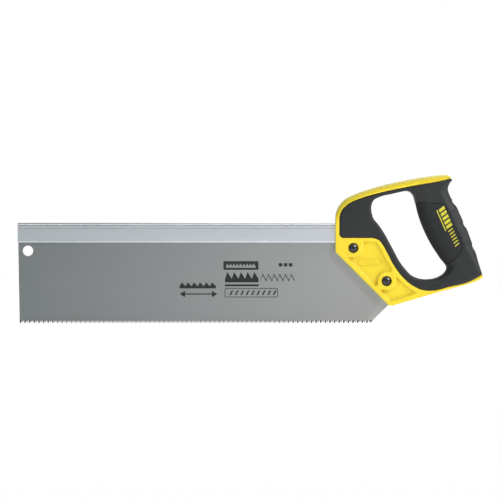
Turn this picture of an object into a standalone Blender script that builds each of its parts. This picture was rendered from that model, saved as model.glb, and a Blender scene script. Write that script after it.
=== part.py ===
"""Back saw: toothed blade, folded metal back and a moulded closed handle.

Metres, +Z up. The origin is the bottom centre of the saw's box: X runs from the toe of
the blade to the handle, Y across the thickness, and Z up from the tooth tips.
Lengths below are in millimetres and are scaled once, where a mesh is made.
"""

import math

import bmesh
import bpy
from mathutils import Matrix, Vector
from mathutils.geometry import interpolate_bezier

MM = 0.001
GAP = 0.3  # clearance between neighbouring pieces
CUT_PAST = 5.0  # how far a cutter reaches past the face it opens
WELD_METRES = 0.000001
TURN_MERGE_METRES = 0.00001
SMOOTH_ANGLE = 30
MITRE_LIMIT = 0.4

# Blade
HALF_LENGTH = 232.25
TOOTH_PITCH = 25.4 / 11
TOOTH_COUNT = 152
TOOTH_DEPTH = 2.5
TOOTH_RAKE = 0.35  # share of the pitch that the steep face of a tooth takes
BLADE_TOE_LOW = -230.4
BLADE_TOE_HIGH = -232.0
BLADE_TOP = 98.3
HEEL_LOW = 0.3
BLADE_HALF = 0.45
HANG_HOLE = (-222.0, 72.2)
HANG_HOLE_RADIUS = 5.2

# Folded back
SPINE_BOTTOM = 80.5
SPINE_TOP = 100.1
SPINE_END = 114.0
SPINE_HALF = 2.3
SPINE_BEAD_HALF = 2.8
SPINE_BEAD_DEPTH = 5.4
SPINE_LIP_HALF = 2.6
SPINE_LIP_DEPTH = 1.8
SPINE_CHAMFER = 0.3
SPINE_LIP_SLOPE = 0.4
SPINE_BEAD_SLOPE = 0.8
SPINE_ROOF_RISE = 0.2  # the fold's inside is a little higher along its middle

# Handle
FRONT = 85.3
FRONT_LOW = 71.0
CORE_HALF = 10.5
CORE_UNDER_GRIP_HALF = 7.0
CORE_TOP_ROUND = 5.0
CORE_EDGE_ROUND = 1.2
CORE_SHOULDER_RISE = (108.0, 122.0)  # heights over which the top band's round grows
CORE_SHOULDER_REAR = (199.0, 190.0)
CORE_REAR_START = (190.0, 196.0)  # the band's rear end goes back to a crisp edge
CORE_REAR_FALL = (144.0, 140.0)
POCKET_DEPTH = 3.0
SKIN = 2.5  # rubber thickness round the hand hole
GRIP_FRONT_HALF = 11.2
GRIP_REAR_HALF = 14.0
GRIP_FRONT_X = 89.3
GRIP_ROUND = 8.0
GRIP_SEAM_ROUND = 1.2
GRIP_SLANT = 0.475  # how far the grip leans back for each unit of drop
GRIP_PALM_GROWS = ((248.0, 256.0), (143.0, 128.0))  # stretches across and down the grip
GRIP_FINGER_GROWS = ((194.0, 214.0), (130.5, 116.0))
GRIP_FOOT = (40.0, 56.0)  # heights over which the grip's round grows above its foot
GRIP_FOOT_SLOPE = 0.42
GRIP_FOOT_X = 190.0
PAST_GRIP_HALF = 20.0
INSERT_THICKNESS = 1.6
INSERT_LEAST_ROUND = 0.3
BADGE_CENTRE = (119.7, 60.9)
BADGE_LENGTH = 24.0
BADGE_HEIGHT = 7.0
BADGE_RAISED = 0.6
BADGE_ROUND = 3.4
BADGE_ROOT = 1.0

# Fasteners
BOSS_FRONT = (103.0, 75.0)
BOSS_REAR = (136.2, 42.0)
BOSS_RADIUS = 8.8
HEAD_RADIUS = 4.75
HEAD_HEIGHT = 2.0
HEAD_EDGE = 1.0
SEAT = 7.9  # distance of the head's seat from the blade's mid-plane
BARREL_RADIUS = 3.4
BARREL_TIP = -2.0
BORE_RADIUS = 2.5
BORE_DEPTH_LEFT = 1.6  # solid metal left under the nut's head
SHANK_RADIUS = 2.2
SHANK_TIP = 5.0
SHANK_CHAMFER = 0.6
RECESS_BAR = (5.0, 2.4, 1.1)  # length, depth on both sides of the crown, width
RECESS_TILTS = (20, 110)
SLOT_BAR = (12.0, 2.0, 1.4)
SLOT_TILT = 35
TURN_STEPS = 24
HANG_HOLE_STEPS = 32

# Outlines, as (x, z)
FRONT_EDGE = [(138.8, 17.5), (FRONT, FRONT_LOW), (FRONT, 96.0)]
TOP_EDGE = [
    (85.4, 104.0),
    (87.1, 113.6),
    (94.0, 122.8),
    (105.5, 128.9),
    (123.7, 135.1),
    (146.8, 140.9),
    (171.2, 145.5),
    (184.6, 147.4),
    (191.3, 148.0),
    (197.2, 147.7),
    (200.4, 145.0),
]
CORE_REAR_EDGE = [
    (197.4, 141.0),
    (194.6, 134.0),
    (196.2, 126.5),
    (208.5, 101.0),
    (218.3, 77.0),
    (228.2, 50.0),
]
BOTTOM_EDGE = [
    (232.25, 45.5),
    (225.7, 41.9),
    (219.7, 39.8),
    (209.5, 36.8),
    (191.5, 31.9),
    (161.3, 23.0),
    (142.0, 17.3),
]
SEAM_TOP = [
    (199.8, 144.2),
    (190.3, 141.7),
    (181.3, 140.0),
    (151.3, 134.8),
    (131.3, 130.6),
    (111.3, 124.9),
    (98.9, 119.6),
    (91.5, 112.6),
    (89.1, 104.0),
]
SEAM_CORNER = (89.1, 85.0, 4.0)  # with its radius
SEAM_BOTTOM = [
    (119.0, 85.0),
    (123.3, 84.6),
    (127.5, 83.3),
    (132.9, 77.3),
    (136.9, 69.9),
    (140.7, 62.4),
    (150.9, 47.4),
    (160.9, 38.3),
    (171.3, 33.3),
    (183.0, 32.5),
    (198.0, 36.1),
    (208.0, 38.4),
    (217.7, 41.3),
    (225.7, 45.2),
    (231.6, 48.7),
]
PALM_UPPER = [(202.0, 142.8), (198.9, 139.0), (197.4, 134.0), (198.9, 128.5), (201.7, 123.2)]
PALM_RIDGES = [
    [(201.8, 121.5), (203.3, 119.2), (205.2, 117.3), (209.1, 109.4), (212.5, 102.0)],
    [(212.6, 100.1), (213.8, 97.3), (215.7, 94.8), (218.8, 87.3), (221.6, 79.6)],
    [(221.6, 77.7), (222.5, 75.2), (223.9, 72.9), (228.0, 60.0), (231.5, 48.8)],
]
HAND_HOLE = [
    (121.0, 116.0),
    (123.6, 122.7),
    (130.0, 126.1),
    (142.0, 129.1),
    (151.3, 131.2),
    (155.5, 132.0),
    (159.0, 131.4),
    (161.8, 129.1),
    (164.8, 121.0),
    (167.6, 109.5),
    (173.6, 93.0),
    (181.6, 77.5),
    (186.3, 70.2),
    (191.0, 63.4),
    (193.8, 60.1),
    (195.7, 57.3),
    (196.1, 54.0),
    (194.3, 50.7),
    (188.0, 46.3),
    (180.0, 44.1),
    (171.2, 44.1),
    (162.5, 46.9),
    (152.8, 56.5),
    (140.6, 77.5),
    (132.2, 92.5),
    (127.8, 98.7),
    (123.1, 104.7),
    (121.4, 110.3),
]
INSERT_EDGE = [
    (156.0, 122.0, 1.0),
    (176.0, 119.8, 6.0),
    (194.0, 119.8, 7.0),
    (213.2, 76.3, 10.0),
    (199.5, 60.0, 4.0),
    (185.0, 57.5, 1.0),
]
UNDER_RUBBER_REAR = [(245.0, 52.9), (245.0, 155.0)]  # behind and above the whole handle
FILLER_BLOCK = [(100.0, 20.0), (250.0, 20.0), (250.0, 150.0), (100.0, 150.0)]
UPPER_POCKET_LEFT = 95.6
UPPER_POCKET_TOP = 81.9
UPPER_POCKET_TOE = (125.2, 36.2)
UPPER_POCKET_BEND = (126.2, 4.5)  # x of its upper rear corner, and that corner's radius
UPPER_POCKET_REAR = [(131.2, 73.6), (135.6, 65.0), (143.2, 53.0)]
UPPER_POCKET_BOSS_ARC = (66, 203)
LOWER_POCKET_FRONT = [(129.3, 32.1), (132.0, 34.2)]
LOWER_POCKET_BOSS_ARC = (-116, 20)
LOWER_POCKET_REAR = [(146.2, 47.4), (154.9, 38.7), (168.0, 30.4)]
LOWER_POCKET_BASE = [(158.4, 26.7), (139.6, 21.0)]
POCKET_ROUND = 1.0
POCKET_TOP_ROUND = 1.5
TANG_LOW = (147.5, 27.1)
TANG_GAP = 0.6
SLOT_FRONT = 60.0  # well in front of the handle, so that its slots open there
TANG_REAR = [(150.3, 31.5), (145.6, 44.0), (137.0, 60.0), (128.0, 75.0), (118.0, 84.0), (114.0, 91.0)]

MATERIALS = {
    "steel": ((0.36, 0.37, 0.38), 0.35, 1.0),
    "bright_steel": ((0.62, 0.66, 0.69), 0.25, 1.0),
    "yellow": ((0.94, 0.66, 0.04), 0.4, 0.0),
    "rubber": ((0.045, 0.050, 0.055), 0.7, 0.0),
    "textured_rubber": ((0.030, 0.034, 0.037), 0.85, 0.0),
    "black_steel": ((0.02, 0.02, 0.022), 0.25, 0.8),
}


# Scene

def clear_scene():
    for obj in list(bpy.data.objects):
        bpy.data.objects.remove(obj, do_unlink=True)


def make_collection(name):
    collection = bpy.data.collections.new(name)
    bpy.context.scene.collection.children.link(collection)
    return collection


def make_material(name):
    color, roughness, metallic = MATERIALS[name]
    material = bpy.data.materials.new(name)
    material.use_nodes = True
    shader = material.node_tree.nodes["Principled BSDF"]
    shader.inputs["Base Color"].default_value = (*color, 1.0)
    shader.inputs["Roughness"].default_value = roughness
    shader.inputs["Metallic"].default_value = metallic
    return material


def place(obj, collection):
    collection.objects.link(obj)
    return obj


def as_cutter(obj):
    """Moves a helper solid to the cutters' collection, where it is not rendered."""
    parts.objects.unlink(obj)
    cutters.objects.link(obj)
    obj.hide_render = True
    obj.display_type = "WIRE"
    return obj


def boolean(target, tool, operation="DIFFERENCE"):
    modifier = target.modifiers.new(tool.name, "BOOLEAN")
    modifier.operation = operation
    modifier.object = tool
    modifier.solver = "MANIFOLD"


def finish(obj, material):
    obj.data.materials.append(material)
    obj.data.shade_smooth()
    obj.data.set_sharp_from_angle(angle=math.radians(SMOOTH_ANGLE))
    obj.parent = root
    return obj


# Outlines

def smooth_path(points, steps=4, closed=False):
    """Points along a smooth curve through the given ones, both ends included."""
    knots = [Vector((*p, 0.0)) for p in points]
    count = len(knots)
    tangents = []
    for i, here in enumerate(knots):
        if not closed and i in (0, count - 1):
            tangents.append(None)
            continue
        before = here - knots[i - 1]
        after = knots[(i + 1) % count] - here
        mix = before.normalized() * after.length + after.normalized() * before.length
        tangents.append(mix.normalized())
    if not closed:
        for end, inner in ((0, 1), (count - 1, count - 2)):
            chord = (knots[inner] - knots[end]).normalized() * (1 if end == 0 else -1)
            mirrored = 2 * chord.dot(tangents[inner]) * chord - tangents[inner]
            tangents[end] = mirrored.normalized()
    path = []
    for i in range(count if closed else count - 1):
        here, there = knots[i], knots[(i + 1) % count]
        reach = (there - here).length / 3
        handle_out = here + tangents[i] * reach
        handle_in = there - tangents[(i + 1) % count] * reach
        path += interpolate_bezier(here, handle_out, handle_in, there, steps + 1)[:-1]
    if not closed:
        path.append(knots[-1])
    return [(p.x, p.y) for p in path]


def arc(centre, radius, start, end, steps):
    """Points on a circle from the start to the end angle, in degrees, ends included."""
    angles = [math.radians(start + (end - start) * i / steps) for i in range(steps + 1)]
    return [(centre[0] + radius * math.cos(a), centre[1] + radius * math.sin(a)) for a in angles]


def circle(centre, radius, steps):
    return arc(centre, radius, 0, 360, steps)[:-1]


def fillet(before, corner, after, radius, steps=4):
    """The points that round one corner of a polygon."""
    here = Vector(corner)
    a = (Vector(before) - here).normalized()
    b = (Vector(after) - here).normalized()
    half = a.angle(b) / 2
    reach = radius / math.tan(half)
    middle = here + (a + b).normalized() * radius / math.sin(half)
    start = here + a * reach - middle
    end = here + b * reach - middle
    turn = start.angle_signed(end)
    spokes = [Matrix.Rotation(-turn * i / steps, 2) @ start for i in range(steps + 1)]
    return [tuple(middle + spoke) for spoke in spokes]


def rounded_path(corners):
    """The filleted corners of an open path. Its two ends only aim the first and last turns."""
    path = []
    for before, (x, z, radius), after in zip(corners, corners[1:-1], corners[2:]):
        path += fillet(before[:2], (x, z), after[:2], radius)
    return path


def rounded(corners):
    """A polygon of (x, z, radius) corners with every corner filleted."""
    return rounded_path([corners[-1]] + corners + [corners[0]])


def area(loop):
    pairs = zip(loop, loop[1:] + loop[:1])
    return sum(a[0] * b[1] - b[0] * a[1] for a, b in pairs) / 2


def outward(loop):
    """The outward mitre vector at each point of a closed loop."""
    side = 1 if area(loop) > 0 else -1
    vectors = []
    for i, point in enumerate(loop):
        here = Vector(point)
        before = (here - Vector(loop[i - 1])).normalized()
        after = (Vector(loop[(i + 1) % len(loop)]) - here).normalized()
        normal = Vector((before.y + after.y, -before.x - after.x)).normalized() * side
        lean = max(MITRE_LIMIT, normal.dot(Vector((after.y, -after.x)) * side))
        vectors.append(normal / lean)
    return vectors


def grown(loop, distance):
    return [tuple(Vector(p) + n * distance) for p, n in zip(loop, outward(loop))]


# Solids

def flat_curve(name, loops, half):
    """A flat outline with its holes, in the XZ plane, given a thickness along Y."""
    data = bpy.data.curves.new(name, "CURVE")
    data.dimensions = "2D"
    data.fill_mode = "BOTH"
    data.extrude = half * MM
    for loop in loops:
        spline = data.splines.new("POLY")
        spline.points.add(len(loop) - 1)
        for point, (x, z) in zip(spline.points, loop):
            point.co = (x * MM, z * MM, 0.0, 1.0)
        spline.use_cyclic_u = True
    obj = place(bpy.data.objects.new(name, data), parts)
    obj.rotation_euler = (math.pi / 2, 0.0, 0.0)
    return obj


def as_mesh(curve):
    """Replaces a curve object by the welded mesh that it makes."""
    bpy.context.view_layer.update()
    graph = bpy.context.evaluated_depsgraph_get()
    data = bpy.data.meshes.new_from_object(curve.evaluated_get(graph))
    shape = bmesh.new()
    shape.from_mesh(data)
    bmesh.ops.remove_doubles(shape, verts=shape.verts, dist=WELD_METRES)
    shape.to_mesh(data)
    shape.free()
    name, matrix = curve.name, curve.matrix_world.copy()
    bpy.data.objects.remove(curve, do_unlink=True)
    obj = place(bpy.data.objects.new(name, data), parts)
    obj.matrix_world = matrix
    return obj


def slab(name, loops, low, high):
    """A flat piece with the given outline, between two distances along Y."""
    obj = as_mesh(flat_curve(name, loops, (high - low) / 2))
    obj.location.y = (low + high) / 2 * MM
    return obj


def rounded_slab(name, outer, hole, half_at, outer_round, hole_round, steps=3):
    """A piece whose thickness and edge radius vary over its outline.

    Both loops are lofted through rings: from the flat on one side, round the edge, along the
    wall and round to the other side. half_at(x) is linear, so both flats stay planes.
    """
    shape = bmesh.new()
    rims = []
    for loop, inward, round_at in ((outer, -1, outer_round), (hole, 1, hole_round)):
        normals = [n * inward for n in outward(loop)]
        rings = []
        for side in (-1, 1):
            angles = [math.pi / 2 * i / steps for i in range(steps + 1)]
            for angle in angles if side > 0 else reversed(angles):
                ring = []
                for point, normal in zip(loop, normals):
                    radius = round_at(*point)
                    spot = Vector(point) + normal * radius * (1 - math.cos(angle))
                    depth = half_at(spot.x) - radius * (1 - math.sin(angle))
                    ring.append(shape.verts.new((spot.x * MM, side * depth * MM, spot.y * MM)))
                rings.append(ring)
        for lower, upper in zip(rings, rings[1:]):
            for i in range(len(loop)):
                j = (i + 1) % len(loop)
                shape.faces.new((lower[i], lower[j], upper[j], upper[i]))
        rims.append((rings[0], rings[-1]))
    for end in (0, 1):
        edges = []
        for rim in rims:
            ring = rim[end]
            edges += [shape.edges.get((a, b)) for a, b in zip(ring, ring[1:] + ring[:1])]
        bmesh.ops.triangle_fill(shape, edges=edges, use_beauty=True, use_dissolve=False)
    bmesh.ops.recalc_face_normals(shape, faces=shape.faces)
    data = bpy.data.meshes.new(name)
    shape.to_mesh(data)
    shape.free()
    return place(bpy.data.objects.new(name, data), parts)


def turned(name, profile, centre, side):
    """A turned piece from a (radius, height) profile, its axis along Y at a boss."""
    data = bpy.data.meshes.new(name)
    verts = [(radius * MM, 0.0, height * MM) for radius, height in profile]
    data.from_pydata(verts, [(i, i + 1) for i in range(len(verts) - 1)], [])
    obj = place(bpy.data.objects.new(name, data), parts)
    screw = obj.modifiers.new("turn", "SCREW")
    screw.steps = TURN_STEPS
    screw.render_steps = TURN_STEPS
    screw.use_merge_vertices = True
    screw.merge_threshold = TURN_MERGE_METRES
    obj.location = (centre[0] * MM, 0.0, centre[1] * MM)
    obj.rotation_euler = (-side * math.pi / 2, 0.0, 0.0)
    return obj


def box(name, size, location, rotation):
    shape = bmesh.new()
    bmesh.ops.create_cube(shape, size=1.0)
    bmesh.ops.scale(shape, vec=[length * MM for length in size], verts=shape.verts)
    data = bpy.data.meshes.new(name)
    shape.to_mesh(data)
    shape.free()
    obj = place(bpy.data.objects.new(name, data), parts)
    obj.location = [value * MM for value in location]
    obj.rotation_euler = rotation
    return obj


# Shared outlines

def hand_hole():
    return smooth_path(HAND_HOLE, steps=3, closed=True)


def core_outline():
    loop = smooth_path(TOP_EDGE) + smooth_path(CORE_REAR_EDGE) + smooth_path(BOTTOM_EDGE)
    return FRONT_EDGE + loop


def seam():
    """The line where rubber meets the yellow core, from the top rear to the bottom rear."""
    corner = fillet(SEAM_TOP[-1], SEAM_CORNER[:2], SEAM_BOTTOM[0], SEAM_CORNER[2])
    return smooth_path(SEAM_TOP) + corner + smooth_path(SEAM_BOTTOM)


def palm():
    """The rear contour of the grip from the top, with three ridges for the palm."""
    path = smooth_path(PALM_UPPER, steps=3)
    for ridge in PALM_RIDGES:
        path += smooth_path(ridge, steps=2)
    return path


def grip_outline():
    """The rubber's outline, held a gap away from the core all along the seam."""
    full = seam() + palm()[::-1]
    inner = grown(full, -GAP)
    return inner[: len(seam())] + palm()[::-1]


def tang_outline(extra=0.0):
    """The part of the blade inside the handle, open to the front for a slot when grown."""
    rear = smooth_path(TANG_REAR, steps=3)
    front = [(SLOT_FRONT, BLADE_TOP), (SLOT_FRONT, 0.0), (TANG_LOW[0] - TANG_LOW[1], 0.0)]
    return grown([TANG_LOW] + rear + front, extra)


def grip_half(x):
    share = (x - GRIP_FRONT_X) / (HALF_LENGTH - GRIP_FRONT_X)
    return GRIP_FRONT_HALF + (GRIP_REAR_HALF - GRIP_FRONT_HALF) * share


def ramp(value, low, high):
    share = min(1.0, max(0.0, (value - low) / (high - low)))
    return share * share * (3 - 2 * share)


def grip_round(x, z, front, top):
    """Edge radius of the rubber: full along the hand grip, little along the seam.

    front and top are the stretches over which it grows, across the grip and down it.
    """
    behind = ramp(x + GRIP_SLANT * z, *front)
    below_top = ramp(z, *top)
    above_foot = ramp(z - GRIP_FOOT_SLOPE * (x - GRIP_FOOT_X), *GRIP_FOOT)
    share = behind * below_top * above_foot
    return GRIP_SEAM_ROUND + (GRIP_ROUND - GRIP_SEAM_ROUND) * share


def palm_round(x, z):
    return grip_round(x, z, *GRIP_PALM_GROWS)


def finger_round(x, z):
    return grip_round(x, z, *GRIP_FINGER_GROWS)


def core_half(_x):
    return CORE_HALF


def core_hole_round(_x, _z):
    return CORE_EDGE_ROUND


def core_round(x, z):
    """A broad shoulder along the top band, crisp edges elsewhere."""
    top = ramp(z, *CORE_SHOULDER_RISE) * ramp(x, *CORE_SHOULDER_REAR)
    rear = ramp(x, *CORE_REAR_START) * ramp(z, *CORE_REAR_FALL)
    share = top * (1 - rear)
    return CORE_EDGE_ROUND + (CORE_TOP_ROUND - CORE_EDGE_ROUND) * share


def pocket_outlines():
    """The two recesses of a cheek, bounded by the bosses and the rim."""
    low, wall = BOSS_FRONT[1] - BOSS_RADIUS, BOSS_FRONT[0] + BOSS_RADIUS
    upper = rounded_path([
        UPPER_POCKET_TOE,
        (UPPER_POCKET_LEFT, low, POCKET_ROUND),
        (wall, low, BOSS_RADIUS),
        (wall, UPPER_POCKET_TOP, POCKET_TOP_ROUND),
        (UPPER_POCKET_BEND[0], UPPER_POCKET_TOP, UPPER_POCKET_BEND[1]),
        UPPER_POCKET_REAR[0],
    ])
    upper += smooth_path(UPPER_POCKET_REAR, steps=2)
    upper += arc(BOSS_REAR, BOSS_RADIUS, *UPPER_POCKET_BOSS_ARC, 8)
    upper.append(UPPER_POCKET_TOE)
    lower = LOWER_POCKET_FRONT + arc(BOSS_REAR, BOSS_RADIUS, *LOWER_POCKET_BOSS_ARC, 8)[1:]
    lower += smooth_path(LOWER_POCKET_REAR, steps=2) + LOWER_POCKET_BASE
    return upper, lower


# Pieces

def make_blade():
    """Steel plate with the tooth line, the hanging hole and two holes in the tang."""
    pitch = TOOTH_PITCH
    heel = BLADE_TOE_LOW + TOOTH_COUNT * pitch
    teeth = []
    for i in range(TOOTH_COUNT - 1):
        left = BLADE_TOE_LOW + i * pitch
        teeth.append((left, TOOTH_DEPTH))
        teeth.append((left + pitch * TOOTH_RAKE, 0.0))
    teeth.append((heel - pitch, TOOTH_DEPTH))  # the last tooth ends in the heel's corner
    tang = smooth_path(TANG_REAR, steps=3) + [(SPINE_END, BLADE_TOP)]
    loop = teeth + [(heel, HEEL_LOW), TANG_LOW] + tang + [(BLADE_TOE_HIGH, BLADE_TOP)]
    holes = [circle(HANG_HOLE, HANG_HOLE_RADIUS, HANG_HOLE_STEPS)]
    for boss in (BOSS_FRONT, BOSS_REAR):
        holes.append(circle(boss, BARREL_RADIUS + GAP, TURN_STEPS))
    return slab("blade", [loop] + holes, -BLADE_HALF, BLADE_HALF)


def spine_section():
    """Half of the folded sheet's section, as (y, z), from the slot's mouth to the crown."""
    slot = BLADE_HALF + GAP
    crown = arc((0.0, SPINE_TOP - SPINE_BEAD_HALF), SPINE_BEAD_HALF, 0, 90, 5)
    bead_low = SPINE_TOP - SPINE_BEAD_DEPTH
    lip_high = SPINE_BOTTOM + SPINE_LIP_DEPTH
    outer = [
        (slot, SPINE_BOTTOM),
        (SPINE_LIP_HALF - SPINE_CHAMFER, SPINE_BOTTOM),
        (SPINE_LIP_HALF, SPINE_BOTTOM + SPINE_CHAMFER),
        (SPINE_LIP_HALF, lip_high),
        (SPINE_HALF, lip_high + SPINE_LIP_SLOPE),
        (SPINE_HALF, bead_low),
        (SPINE_BEAD_HALF, bead_low + SPINE_BEAD_SLOPE),
    ]
    roof = BLADE_TOP + GAP
    inner = [(0.0, roof + SPINE_ROOF_RISE), (slot, roof)]
    return outer, crown, inner


def make_spine():
    """Sheet folded over the top of the blade, with a bead at the fold and a lip below."""
    outer, crown, inner = spine_section()
    right = outer + crown
    left = [(-y, z) for y, z in right[:-1]][::-1]
    slot = BLADE_HALF + GAP
    loop = right + left + [(-slot, inner[1][1]), inner[0], inner[1]]
    obj = flat_curve("spine", [loop], (SPINE_END + HALF_LENGTH) / 2)
    obj.rotation_euler = (math.pi / 2, 0.0, math.pi / 2)
    obj.location.x = (SPINE_END - HALF_LENGTH) / 2 * MM
    return as_mesh(obj)


def make_handle_core():
    """Hard yellow moulding: cheeks, top band, and the frame under the rubber."""
    outline = core_outline()
    hole = grown(hand_hole(), SKIN)
    core = rounded_slab("handle_core", outline, hole, core_half, core_round, core_hole_round)
    far = CORE_HALF + CUT_PAST
    window = seam() + UNDER_RUBBER_REAR
    upper, lower = pocket_outlines()
    floor = CORE_HALF - POCKET_DEPTH
    badge = rounded([
        (BADGE_CENTRE[0] + sx * BADGE_LENGTH / 2, BADGE_CENTRE[1] + sz * BADGE_HEIGHT / 2, BADGE_ROUND)
        for sx, sz in ((-1, -1), (1, -1), (1, 1), (-1, 1))
    ])
    for side, name in ((-1, "front"), (1, "back")):
        recess = slab("recess_" + name, [window], *span(side, CORE_UNDER_GRIP_HALF, far))
        pocket = slab("pocket_" + name, [upper], *span(side, floor, far))
        small = slab("small_pocket_" + name, [lower], *span(side, floor, far))
        pill = slab("badge_" + name, [badge], *span(side, floor - BADGE_ROOT, floor + BADGE_RAISED))
        boolean(pocket, as_cutter(pill))
        for cutter in (recess, pocket, small):
            boolean(core, as_cutter(cutter))
        for boss, place_name in ((BOSS_FRONT, "front_boss"), (BOSS_REAR, "rear_boss")):
            ring = circle(boss, HEAD_RADIUS + GAP, TURN_STEPS)
            sink = slab(name + "_sink_" + place_name, [ring], *span(side, SEAT, far))
            boolean(core, as_cutter(sink))
    for boss, name in ((BOSS_FRONT, "front_bore"), (BOSS_REAR, "rear_bore")):
        bore = slab(name, [circle(boss, BARREL_RADIUS + GAP, TURN_STEPS)], -far, far)
        boolean(core, as_cutter(bore))
    slot = slab("tang_slot", [tang_outline(TANG_GAP)], -BLADE_HALF - GAP, BLADE_HALF + GAP)
    boolean(core, as_cutter(slot))
    wide = SPINE_BEAD_HALF + GAP
    low, high = SPINE_BOTTOM - GAP, SPINE_TOP + GAP
    rear = SPINE_END + GAP
    mouth = [(SLOT_FRONT, low), (rear, low), (rear, high), (SLOT_FRONT, high)]
    boolean(core, as_cutter(slab("spine_slot", [mouth], -wide, wide)))
    return core


def span(side, near, far):
    """The low and high Y of a stretch on one side of the mid-plane."""
    return (near, far) if side > 0 else (-far, -near)


def grip_block(name):
    """The whole outer shape of the rubber grip, solid."""
    return rounded_slab(name, grip_outline(), hand_hole(), grip_half, palm_round, finger_round)


def make_grip_overmould():
    """Rubber skin: round the hand hole, over the front panel and down the ridged grip."""
    grip = grip_block("grip_overmould")
    core = [grown(core_outline(), GAP), grown(hand_hole(), SKIN - GAP)]
    half = CORE_UNDER_GRIP_HALF + GAP
    boolean(grip, as_cutter(slab("core_space", core, -half, half)))
    space = grown(rounded(INSERT_EDGE), GAP)
    panel = slab("panel_space", [space], -PAST_GRIP_HALF, PAST_GRIP_HALF)
    boolean(panel, as_cutter(grip_filler("panel_floor", INSERT_THICKNESS + GAP)))
    boolean(grip, as_cutter(panel))
    return grip


def grip_filler(name, depth):
    """What lies under a panel of the given thickness on the hand-hole side of the grip."""

    def under_half(x):
        return grip_half(x) - depth

    def under_round(x, z):
        return max(INSERT_LEAST_ROUND, finger_round(x, z) - depth)

    hole = grown(hand_hole(), depth)
    return rounded_slab(name, FILLER_BLOCK, hole, under_half, under_round, under_round)


def make_grip_insert():
    """Softer textured panel that wraps the finger side of the grip from cheek to cheek."""
    insert = grip_block("grip_insert")
    panel = slab("panel_area", [rounded(INSERT_EDGE)], -PAST_GRIP_HALF, PAST_GRIP_HALF)
    boolean(insert, as_cutter(panel), "INTERSECT")
    boolean(insert, as_cutter(grip_filler("panel_under", INSERT_THICKNESS)))
    return insert


def head_profile(seat):
    """The domed head from its crown to its underside, above the seat."""
    quarter = arc((0.0, 0.0), 1.0, 90, 0, 4)
    dome_height = HEAD_HEIGHT - HEAD_EDGE
    dome = [(HEAD_RADIUS * r, seat + HEAD_EDGE + dome_height * h) for r, h in quarter]
    return dome + [(HEAD_RADIUS, seat)]


def make_screw(name, centre):
    """Machine screw with a domed head and a cross recess, on the front side."""
    seat = SEAT + GAP
    profile = head_profile(seat) + [(SHANK_RADIUS, seat), (SHANK_RADIUS, -SHANK_TIP + SHANK_CHAMFER)]
    profile += [(SHANK_RADIUS - SHANK_CHAMFER, -SHANK_TIP), (0.0, -SHANK_TIP)]
    screw = turned(name, profile, centre, -1)
    crown = (centre[0], -(seat + HEAD_HEIGHT), centre[1])
    for number, tilt in enumerate(RECESS_TILTS):
        bar = box(f"{name}_recess_{number}", RECESS_BAR, crown, (0.0, math.radians(tilt), 0.0))
        boolean(screw, as_cutter(bar))
    return screw


def make_nut(name, centre):
    """Barrel nut with a slotted domed head, on the back side, threaded on the screw."""
    seat = SEAT + GAP
    bore_end = seat - BORE_DEPTH_LEFT
    profile = head_profile(seat) + [(BARREL_RADIUS, seat), (BARREL_RADIUS, BARREL_TIP)]
    profile += [(BORE_RADIUS, BARREL_TIP), (BORE_RADIUS, bore_end), (0.0, bore_end)]
    nut = turned(name, profile, centre, 1)
    crown = (centre[0], seat + HEAD_HEIGHT, centre[1])
    bar = box(name + "_slot", SLOT_BAR, crown, (0.0, math.radians(SLOT_TILT), 0.0))
    boolean(nut, as_cutter(bar))
    return nut


clear_scene()
parts = make_collection("back_saw")
cutters = make_collection("cutters")
materials = {name: make_material(name) for name in MATERIALS}
root = place(bpy.data.objects.new("back_saw_origin", None), parts)

finish(make_blade(), materials["steel"])
finish(make_spine(), materials["bright_steel"])
finish(make_handle_core(), materials["yellow"])
finish(make_grip_overmould(), materials["rubber"])
finish(make_grip_insert(), materials["textured_rubber"])
for where, boss in (("front", BOSS_FRONT), ("rear", BOSS_REAR)):
    finish(make_screw(where + "_screw", boss), materials["black_steel"])
    finish(make_nut(where + "_nut", boss), materials["black_steel"])
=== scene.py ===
"""The look of the back saw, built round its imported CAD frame.

Every piece is drawn in millimetres in the frame's own axes (X to the handle, Y across, Z up)
and scaled once, where its mesh is made. Outlines are (x, z) points. The handle's are measured
from the low front corner of the CAD handle core's box.
"""

import math

import bmesh
import bpy
import numpy as np
from mathutils import Matrix, Vector
from mathutils.geometry import delaunay_2d_cdt, interpolate_bezier


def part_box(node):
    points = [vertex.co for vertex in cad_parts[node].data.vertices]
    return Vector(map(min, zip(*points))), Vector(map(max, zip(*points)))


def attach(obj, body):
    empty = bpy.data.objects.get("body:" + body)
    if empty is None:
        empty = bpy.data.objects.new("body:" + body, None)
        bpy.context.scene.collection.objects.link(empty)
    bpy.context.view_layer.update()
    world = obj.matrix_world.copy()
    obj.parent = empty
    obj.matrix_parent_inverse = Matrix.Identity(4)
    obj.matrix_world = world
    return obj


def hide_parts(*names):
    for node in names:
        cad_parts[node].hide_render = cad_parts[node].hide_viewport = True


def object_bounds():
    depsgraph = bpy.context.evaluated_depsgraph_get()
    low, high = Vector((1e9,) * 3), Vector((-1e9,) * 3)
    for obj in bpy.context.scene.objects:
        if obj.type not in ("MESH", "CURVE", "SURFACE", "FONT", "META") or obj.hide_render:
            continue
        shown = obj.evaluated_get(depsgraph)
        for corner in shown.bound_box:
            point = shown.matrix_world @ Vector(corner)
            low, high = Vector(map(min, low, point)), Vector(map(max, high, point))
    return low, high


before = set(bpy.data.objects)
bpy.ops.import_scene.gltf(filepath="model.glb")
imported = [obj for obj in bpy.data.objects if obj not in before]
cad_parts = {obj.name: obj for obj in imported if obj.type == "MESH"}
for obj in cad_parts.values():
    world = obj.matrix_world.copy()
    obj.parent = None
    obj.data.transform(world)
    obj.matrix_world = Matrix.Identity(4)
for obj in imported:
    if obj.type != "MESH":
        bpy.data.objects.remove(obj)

cad_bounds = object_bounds()

MM = 0.001


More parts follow.
